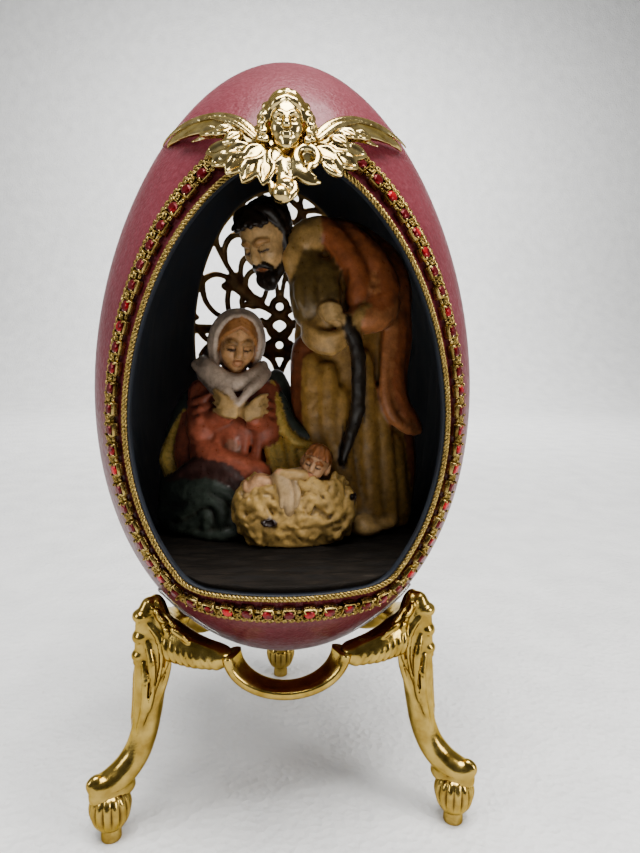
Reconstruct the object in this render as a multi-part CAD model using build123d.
"""Goose-egg diorama: a cut-out egg shell with glued trim and resin figures, on a three-legged cast stand.

Millimetres, +Z up. Everything is laid out around the egg's own vertical axis, with the front window facing -Y.
On export the whole object is moved so that it stands on z = 0 and its box is centred on the origin.
"""

import os
from math import cos, hypot, pi, radians, sin, sqrt

from build123d import *

# Egg: a blown goose egg, blunt end down
EGG_HALF_WIDTH = 29.0
EGG_HALF_LENGTH = 45.3
EGG_MID_Z = 69.9
EGG_TAPER = -0.108
EGG_BLUNTNESS = -0.0215
SHELL_THICKNESS = 0.65
PAINT_THICKNESS = 0.17

# Front window: its edge is the centreline of the twisted cord
WINDOW_HALF_WIDTH = 20.8
WINDOW_WIDEST_Z = 63.0
WINDOW_TOP_Z = 97.0
WINDOW_BOTTOM_Z = 41.3
WINDOW_LOWER_HALF_AXIS = 28.0
WINDOW_CORNER_RADIUS = 5.0

# Trim glued round the window
CORD_DIAMETER = 0.8
CHAIN_DISTANCE = 2.3
CHAIN_PITCH = 2.65
CUP_SIDE = 1.8
CUP_HEIGHT = 1.05
CUP_WALL = 0.12
CUP_FLOOR = 0.25
PRONG_SIDE = 0.3
PRONG_RISE = 0.3
TAB_WIDTH = 0.7
TAB_THICKNESS = 0.25
TAB_GAP = 0.06
STONE_RADIUS = 0.76
STONE_DEPTH = 0.65
STONE_CROWN = 0.3
BRAID_INNER_DISTANCE = 3.35
BRAID_OUTER_DISTANCE = 4.5
BRAID_THICKNESS = 0.7

# Rear window and its pierced stamping
REAR_CENTRE = (-0.6, 73.8)
REAR_HALF_WIDTH = 17.0
REAR_HALF_HEIGHT = 28.8
FILIGREE_RIM = 1.6
FILIGREE_THICKNESS = 0.65
MEDALLION_Z = 77.5

# Winged-head finding over the top of the window
FINDING_THICKNESS = 0.9
FINDING_HEAD_Z = 99.5
FINDING_HEAD_RADIUS = 4.0
FINDING_FRONT = 26.0
# The finding's drop, which hangs in front of the window, reaches furthest forward of all
FRONT_REACH = 28.1
# The finding is bent like an egg narrowed by the inset and moved forward, so that its tips meet the real egg
FINDING_INSET = 2.05
FINDING_FORWARD = 4.4

# Ground and figures
GROUND_TOP_Z = 42.5
GROUND_THICKNESS = 4.0

# Stand
LEG_ANGLES = (-150.0, -30.0, 90.0)
ARM_SPAN = 27.0
FOOT_CIRCLE_RADIUS = 29.9
FOOT_BALL_RADIUS = 3.05
FOOT_BALL_Z = 6.3
PEG_RADIUS = 1.5
# The pegs end at this height; on export the whole object is lowered by as much, onto z = 0
FLOOR_Z = 1.0

CLEARANCE = 0.03
REACH = 45.0
AXIS_Y = (FRONT_REACH - FOOT_CIRCLE_RADIUS - FOOT_BALL_RADIUS) / 2


def egg_radius(z):
    """The egg's outside radius at height z."""
    s = (z - EGG_MID_Z) / EGG_HALF_LENGTH
    return EGG_HALF_WIDTH * sqrt(max(0.0, 1 - s * s)) * (1 + EGG_TAPER * s + EGG_BLUNTNESS * s * s)


def egg_slope(z):
    """How fast the egg's radius grows with height."""
    step = 0.01
    return (egg_radius(z + step) - egg_radius(z - step)) / (2 * step)


def egg_outline(offset):
    """The egg's side outline, grown outwards by offset, from its bottom pole to its top pole."""
    points = []
    steps = 12
    for i in range(steps + 1):
        angle = -pi / 2 + pi * i / steps
        z = EGG_MID_Z + EGG_HALF_LENGTH * sin(angle)
        if i in (0, steps):
            points.append((0.0, z + offset * sin(angle)))
            continue
        slope = egg_slope(z)
        length = hypot(1, slope)
        points.append((egg_radius(z) + offset / length, z - offset * slope / length))
    chords = [hypot(b[0] - a[0], b[1] - a[1]) for a, b in zip(points, points[1:])]
    mean = sum(chords) / steps
    scalars = [chords[0] / mean, chords[-1] / mean]
    return Spline(*points, tangents=[(1, 0), (-1, 0)], tangent_scalars=scalars)


def egg_solid(offset):
    """The whole egg, grown outwards by offset all over."""
    side = egg_outline(offset)
    profile = make_face([side, Line(side @ 1, side @ 0)])
    return revolve(Plane.XZ * profile, axis=Axis.Z)


def half_band(low, high, front=True):
    """The front or the rear half of the layer of space between two offsets of the egg."""
    outside = egg_outline(high)
    inside = egg_outline(low)
    sides = [outside, Line(outside @ 1, inside @ 1), inside, Line(inside @ 0, outside @ 0)]
    half = revolve(Plane.XZ * make_face(sides), axis=Axis.Z, revolution_arc=180)
    return Rot(0, 0, 180) * half if front else half


def on_egg(x, z, height=0.0):
    """The point and the outward normal on the front of the egg, seen from the front at (x, z)."""
    radius = egg_radius(z)
    y = -sqrt(max(0.0, radius * radius - x * x))
    normal = Vector(x / radius, y / radius, -egg_slope(z)).normalized()
    return Vector(x, y, z) + normal * height, normal


def window_half_width(z):
    """Half the width of the front window at height z, without its rounded lower corners."""
    if z >= WINDOW_WIDEST_Z:
        u = (z - WINDOW_WIDEST_Z) / (WINDOW_TOP_Z - WINDOW_WIDEST_Z)
        return WINDOW_HALF_WIDTH * max(0.0, 1 - u**1.85) ** 0.58
    v = (WINDOW_WIDEST_Z - z) / WINDOW_LOWER_HALF_AXIS
    return WINDOW_HALF_WIDTH * sqrt(1 - v * v)


def window_edge():
    """The window's edge on the egg as a closed list of close points, from the bottom round to the right."""
    corner_z = WINDOW_BOTTOM_Z + WINDOW_CORNER_RADIUS * 0.45
    corner_x = window_half_width(corner_z)
    flat_x = corner_x - WINDOW_CORNER_RADIUS
    side = []
    for i in range(12):
        side.append((flat_x * i / 12, WINDOW_BOTTOM_Z))
    for i in range(12):
        t = i / 12
        x = (1 - t) ** 2 * flat_x + 2 * t * (1 - t) * (corner_x - 1.1) + t * t * corner_x
        z = (1 - t * t) * WINDOW_BOTTOM_Z + t * t * corner_z
        side.append((x, z))
    for i in range(91):
        z = corner_z + (WINDOW_TOP_Z - corner_z) * sin(pi / 2 * i / 90)
        side.append((window_half_width(z), z))
    left = [(-x, z) for x, z in reversed(side[1:-1])]
    return side + left


def loop_on_egg(distance, count, edge=window_edge()):
    """Points evenly spaced along the line on the egg that runs a given distance outside the window's edge.

    Each is (x, z, tangent, normal), with the tangent along the line and the normal out of the egg."""
    line = []
    size = len(edge)
    for i, (x, z) in enumerate(edge):
        here, normal = on_egg(x, z)
        ahead, _ = on_egg(*edge[(i + 2) % size])
        behind, _ = on_egg(*edge[(i - 2) % size])
        aside = (ahead - behind).cross(normal).normalized()
        moved = here + aside * distance
        line.append(on_egg(moved.X, moved.Z)[0])
    lengths = [0.0]
    for i in range(size):
        lengths.append(lengths[-1] + (line[(i + 1) % size] - line[i]).length)
    result = []
    segment = 0
    for k in range(count):
        target = lengths[-1] * k / count
        while lengths[segment + 1] < target:
            segment += 1
        start = line[segment]
        end = line[(segment + 1) % size]
        share = (target - lengths[segment]) / (lengths[segment + 1] - lengths[segment])
        point = start + (end - start) * share
        _, normal = on_egg(point.X, point.Z)
        tangent = (line[(segment + 4) % size] - line[segment - 3]).normalized()
        result.append((point.X, point.Z, tangent, normal))
    return result, lengths[-1]


def window_face(distance):
    """The window's outline seen from the front, a given distance outside its edge."""
    points, _ = loop_on_egg(distance, 48)
    return make_face(Spline(*[(x, z) for x, z, _, _ in points], periodic=True))


def front_prism(face):
    return extrude(Plane.XZ * face, REACH)


def rear_prism(face):
    return extrude(Plane.XZ * face, -REACH)


def rear_oval(grow):
    return Pos(*REAR_CENTRE) * Ellipse(REAR_HALF_WIDTH + grow, REAR_HALF_HEIGHT + grow)


def windowed_wall(low, high):
    """A wall between two offsets of the egg, with the front and rear windows cut out."""
    front = half_band(low, high) - front_prism(window_face(-0.25))
    rear = half_band(low, high, front=False) - rear_prism(rear_oval(0))
    return front + rear


def egg_shell():
    return windowed_wall(-SHELL_THICKNESS, 0)


def inner_paint_coat():
    outside = -SHELL_THICKNESS - 0.01
    return windowed_wall(outside - PAINT_THICKNESS, outside)


def ground_slab():
    inside = egg_solid(-SHELL_THICKNESS - PAINT_THICKNESS - 0.12)
    middle = GROUND_TOP_Z - GROUND_THICKNESS / 2
    return inside & Pos(0, 0, middle) * Box(2 * REACH, 2 * REACH, GROUND_THICKNESS)


def window_band(inner, outer, thickness):
    """A flat trim that follows the window's edge on the egg, between two distances outside it."""
    ring = window_face(outer) - window_face(inner)
    return front_prism(ring) & half_band(CLEARANCE, CLEARANCE + thickness)


def opening_cord():
    return window_band(-CORD_DIAMETER / 2, CORD_DIAMETER / 2, CORD_DIAMETER)


def outer_braid():
    return window_band(BRAID_INNER_DISTANCE, BRAID_OUTER_DISTANCE, BRAID_THICKNESS)


def chain_cup():
    """One square cup with four prongs, standing on z = 0."""
    cup = Pos(0, 0, CUP_HEIGHT / 2) * Box(CUP_SIDE, CUP_SIDE, CUP_HEIGHT)
    hollow = CUP_SIDE - 2 * CUP_WALL
    cup -= Pos(0, 0, CUP_FLOOR + CUP_HEIGHT / 2) * Box(hollow, hollow, CUP_HEIGHT)
    reach = CUP_SIDE / 2 - PRONG_SIDE / 2
    prong = Box(PRONG_SIDE, PRONG_SIDE, 2 * PRONG_RISE)
    for x in (-reach, reach):
        for y in (-reach, reach):
            cup += Pos(x, y, CUP_HEIGHT) * prong
    return cup


def chain_stone():
    """One pointed-back stone, its girdle just under the prongs."""
    girdle = CUP_HEIGHT - 0.05
    table = girdle + STONE_CROWN
    outline = [
        (0, girdle - STONE_DEPTH),
        (STONE_RADIUS, girdle - 0.05),
        (STONE_RADIUS, girdle + 0.05),
        (0.6 * STONE_RADIUS, table),
        (0, table),
    ]
    return revolve(Plane.XZ * make_face(Polyline(*outline, close=True)), axis=Axis.Z)


def chain():
    """The cups, the tabs between them and the stones, each as one group of separate solids."""
    _, length = loop_on_egg(CHAIN_DISTANCE, 4)
    count = round(length / CHAIN_PITCH)
    places, _ = loop_on_egg(CHAIN_DISTANCE, count)
    between, _ = loop_on_egg(CHAIN_DISTANCE, 2 * count)
    gap = length / count - CUP_SIDE
    cup = chain_cup()
    stone = chain_stone()
    tab = Pos(0, 0, 0.2) * Box(gap - 2 * TAB_GAP, TAB_WIDTH, TAB_THICKNESS)
    cups = [seat(place) * cup for place in places]
    stones = [seat(place) * stone for place in places]
    tabs = [seat(place) * tab for place in between[1::2]]
    return Compound(children=cups), Compound(children=tabs), Compound(children=stones)


def seat(place, height=0.06):
    """The location of a piece that stands on the egg: its x runs along the chain and its z out of the egg."""
    x, z, tangent, normal = place
    point, _ = on_egg(x, z, height)
    return Plane(origin=point, x_dir=tangent, z_dir=normal).location


def rear_filigree():
    """A pierced oval stamping, bent to the egg: a rim, a pierced medallion, lattice bars and rings."""
    centre_x = REAR_CENTRE[0]
    pattern = rear_oval(FILIGREE_RIM) - rear_oval(-FILIGREE_RIM / 2)
    for height, radius in ((MEDALLION_Z, 4.4), (MEDALLION_Z + 7, 2.9), (MEDALLION_Z - 7, 2.9)):
        pattern += Pos(centre_x, height) * (Circle(radius) - Circle(radius - 1.3))
    middle = Pos(centre_x, REAR_CENTRE[1])
    pattern += middle * (Ellipse(11.2, 20.0) - Ellipse(10.0, 18.8))
    for i in range(12):
        angle = 15 + 30 * i
        direction = (sin(radians(angle)), cos(radians(angle)))
        inner = (centre_x + 4.2 * direction[0], MEDALLION_Z + 9.8 * direction[1])
        outer = (centre_x + 17.2 * direction[0], REAR_CENTRE[1] + 28.9 * direction[1])
        pattern += trace(Line(inner, outer), 1.1)
    for i in range(12):
        angle = 30 * i
        x = centre_x + 14.0 * sin(radians(angle))
        z = REAR_CENTRE[1] + 24.3 * cos(radians(angle))
        pattern += Pos(x, z) * (Circle(3.4) - Circle(2.3))
    plate = rear_prism(pattern) & half_band(CLEARANCE, CLEARANCE + FILIGREE_THICKNESS, front=False)
    return plate.solids().sort_by(SortBy.VOLUME)[-1]


def cherub_finding():
    """A stamped finding: two spread wings, a head between them, a ruffled collar and a hanging drop."""
    wing = make_face(
        Spline(
            (1.5, 98.2),
            (4.5, 100.8),
            (8.5, 101.6),
            (15.4, 101.1),
            (12.6, 98.2),
            (8.0, 94.6),
            (2.0, 92.9),
            periodic=True,
        )
    )
    silhouette = wing + mirror(wing, about=Plane.YZ)
    silhouette += Pos(0, 94.3) * Ellipse(7.0, 3.2)
    silhouette += Pos(0, 90.4) * Circle(1.2)
    forward = Pos(0, -FINDING_FORWARD, 0)
    plate = front_prism(silhouette) & forward * half_band(-FINDING_INSET, FINDING_THICKNESS - FINDING_INSET)
    head = Pos(0, FINDING_HEAD_RADIUS - FINDING_FRONT, FINDING_HEAD_Z) * ovoid(FINDING_HEAD_RADIUS, 4.8)
    return plate + (head - forward * egg_solid(-FINDING_INSET))


def lofted_body(stations):
    """A closed body through level ellipses, each (x, y, z, half width, half depth)."""
    sections = []
    for x, y, z, half_width, half_depth in stations:
        sections.append(Pos(x, y, z) * Ellipse(half_width, half_depth))
    return loft(sections)


def ovoid(radius, half_height):
    """An egg-like solid of revolution about Z, centred on the origin."""
    right_half = Pos(radius, 0) * Rectangle(2 * radius, 3 * half_height)
    return revolve(Plane.XZ * (Ellipse(radius, half_height) & right_half), axis=Axis.Z)


def standing_figure():
    foot = GROUND_TOP_Z + CLEARANCE
    robe = lofted_body(
        [
            (14.4, 6.4, foot, 7.0, 4.6),
            (13.6, 6.4, 54.0, 7.8, 4.8),
            (11.6, 6.6, 66.0, 8.2, 4.8),
            (10.8, 7.0, 77.0, 8.2, 4.8),
            (9.6, 7.4, 86.0, 7.2, 4.4),
            (7.6, 7.6, 92.5, 4.4, 3.2),
        ]
    )
    neck = Pos(1.6, 6.0, 89.6) * Rot(0, -62, 0) * ovoid(3.4, 6.6)
    head = Pos(-3.2, 4.6, 91.0) * Rot(0, -24, 90) * ovoid(4.9, 6.0)
    return robe + neck + head


def kneeling_figure():
    foot = GROUND_TOP_Z + CLEARANCE
    cloak = lofted_body(
        [
            (-9.4, 6.2, foot, 9.2, 5.4),
            (-8.8, 6.2, 51.0, 9.2, 5.4),
            (-7.4, 6.0, 60.0, 7.4, 4.6),
            (-7.6, 5.4, 66.5, 5.6, 4.0),
            (-8.0, 4.8, 70.5, 3.0, 2.8),
        ]
    )
    return cloak + Pos(-8.2, 4.2, 73.9) * ovoid(4.6, 5.8)


def straw_bed():
    low = GROUND_TOP_Z + CLEARANCE
    return lofted_body(
        [
            (0.6, -4.9, low, 8.6, 4.2),
            (0.8, -5.0, low + 2.2, 9.4, 4.7),
            (0.9, -5.0, low + 4.6, 9.2, 4.6),
            (0.9, -4.9, low + 6.2, 8.0, 3.8),
        ]
    )


def infant_figure():
    rest_z = GROUND_TOP_Z + 6.3
    body = Pos(0.2, -5.2, rest_z + 2.2) * Rot(0, 90, 0) * ovoid(2.1, 5.6)
    return body + Pos(4.8, -5.2, rest_z + 4.0) * ovoid(2.5, 2.9)


def leg_loft():
    """The cabriole leg along +X, through ellipses square to its own line.

    Each station is (radius, height, half depth, half width, lean in degrees from level)."""
    stations = (
        (22.8, 37.0, 1.5, 1.9, 0),
        (22.7, 34.2, 2.6, 2.6, 0),
        (22.7, 30.6, 2.8, 2.8, 0),
        (23.1, 26.6, 2.5, 2.5, 0),
        (23.6, 21.8, 2.4, 2.2, 2),
        (24.2, 17.0, 2.2, 1.9, 10),
        (25.6, 13.0, 2.1, 1.8, 28),
        (27.6, 10.6, 2.0, 1.9, 48),
        (30.0, 9.4, 1.75, 2.2, 78),
        (32.0, 9.5, 1.0, 1.4, 95),
    )
    sections = []
    for radius, height, half_depth, half_width, lean in stations:
        across = (cos(radians(lean)), 0, sin(radians(lean)))
        along = (sin(radians(lean)), 0, -cos(radians(lean)))
        plane = Plane(origin=(radius, 0, height), x_dir=across, z_dir=along)
        sections.append(plane * Ellipse(half_depth, half_width))
    return loft(sections)


def arm_loft(side):
    """One arm of a leg, sweeping round the egg towards the next leg, as a ruled body through radial sections."""
    root = ((24.6, 35.4), (22.0, 37.0), (17.6, 32.0), (19.4, 25.6), (23.6, 26.4))
    tip = ((19.6, 30.6), (18.4, 31.4), (15.2, 29.9), (15.6, 27.6), (18.8, 27.2))
    sections = []
    for share in (0, 1 / 3, 2 / 3, 1):
        ease = share ** 0.8
        angle = radians(side * ARM_SPAN * share)
        plane = Plane(origin=(0, 0, 0), x_dir=(cos(angle), sin(angle), 0), z_dir=(sin(angle), -cos(angle), 0))
        points = [(a + (c - a) * ease, b + (d - b) * ease) for (a, b), (c, d) in zip(root, tip)]
        sections.append(plane * make_face(Polyline(*points, close=True)))
    return loft(sections, ruled=True)


def swag(grow=0.0):
    """One U-shaped swag, centred on -Y, through ellipses square to a hanging curve."""
    half_span = 8.9
    top_z = 29.9
    drop = 6.5
    points = []
    for i in range(-6, 7):
        t = radians(14.5 * i)
        x = half_span * sin(t)
        radius = 15.6 + 1.7 * sin(t) ** 2
        points.append(Vector(x, -sqrt(radius * radius - x * x), top_z - drop * cos(t)))
    sections = []
    for i, point in enumerate(points):
        ahead = points[min(i + 1, len(points) - 1)]
        behind = points[max(i - 1, 0)]
        outwards = Vector(point.X, point.Y, 0).normalized()
        plane = Plane(origin=point, x_dir=outwards, z_dir=ahead - behind)
        sections.append(plane * Ellipse(2.0 + grow, 1.35 + grow))
    return loft(sections)


def foot():
    """One ball foot with its small peg, on the floor under the end of a leg along +X."""
    ball = Pos(0, 0, FOOT_BALL_Z) * Sphere(FOOT_BALL_RADIUS)
    peg_height = FOOT_BALL_Z - FOOT_BALL_RADIUS + 0.6 - FLOOR_Z
    peg = Pos(0, 0, FLOOR_Z + peg_height / 2) * Cylinder(PEG_RADIUS, peg_height)
    return Pos(FOOT_CIRCLE_RADIUS, 0, 0) * (ball + peg)


def stand():
    """The stand's nodes: three legs with their arms, three swags, three ball feet and three glue beads."""
    egg = egg_solid(0.06)
    ball = Pos(FOOT_CIRCLE_RADIUS, 0, FOOT_BALL_Z) * Sphere(FOOT_BALL_RADIUS + CLEARANCE)
    swag_tools = [Rot(0, 0, angle) * swag(CLEARANCE) for angle in (30, 150)]
    leg = leg_loft() + arm_loft(1) + arm_loft(-1)
    for height, size in ((34.9, 1.1), (31.4, 1.2), (28.2, 0.9)):
        leg += Pos(24.9, 0, height) * Sphere(size)
    leg -= egg
    leg -= ball
    for tool in swag_tools:
        leg -= tool
    leg = leg.solids().sort_by(SortBy.VOLUME)[-1]
    single_swag = swag() - egg
    bead_outline = Polyline((21.5, 37.25), (22.5, 37.25), (22.1, 37.75), (21.85, 37.9), close=True)
    bead = Rot(0, 0, -4) * revolve(Plane.XZ * make_face(bead_outline), axis=Axis.Z, revolution_arc=8)
    pieces = {}
    for i, angle in enumerate(LEG_ANGLES, start=1):
        turn = Rot(0, 0, angle)
        pieces[f"stand_leg_{i}"] = turn * leg
        pieces[f"stand_swag_{i}"] = Rot(0, 0, 120 * (i - 1)) * single_swag
        pieces[f"ball_foot_{i}"] = turn * foot()
        pieces[f"glue_bead_{i}"] = turn * bead
    return pieces


def main():
    cups, tabs, stones = chain()
    pieces = {
        "egg_shell": egg_shell(),
        "inner_paint_coat": inner_paint_coat(),
        "ground_slab": ground_slab(),
        "rear_filigree": rear_filigree(),
        "opening_cord": opening_cord(),
        "outer_braid": outer_braid(),
        "chain_cups": cups,
        "chain_links": tabs,
        "chain_stones": stones,
        "cherub_finding": cherub_finding(),
        "standing_figure": standing_figure(),
        "kneeling_figure": kneeling_figure(),
        "infant_figure": infant_figure(),
        "straw_bed": straw_bed(),
    }
    pieces.update(stand())
    os.makedirs("parts", exist_ok=True)
    for name, piece in pieces.items():
        export_step(Pos(0, AXIS_Y, -FLOOR_Z) * piece, f"parts/{name}.step")


main()
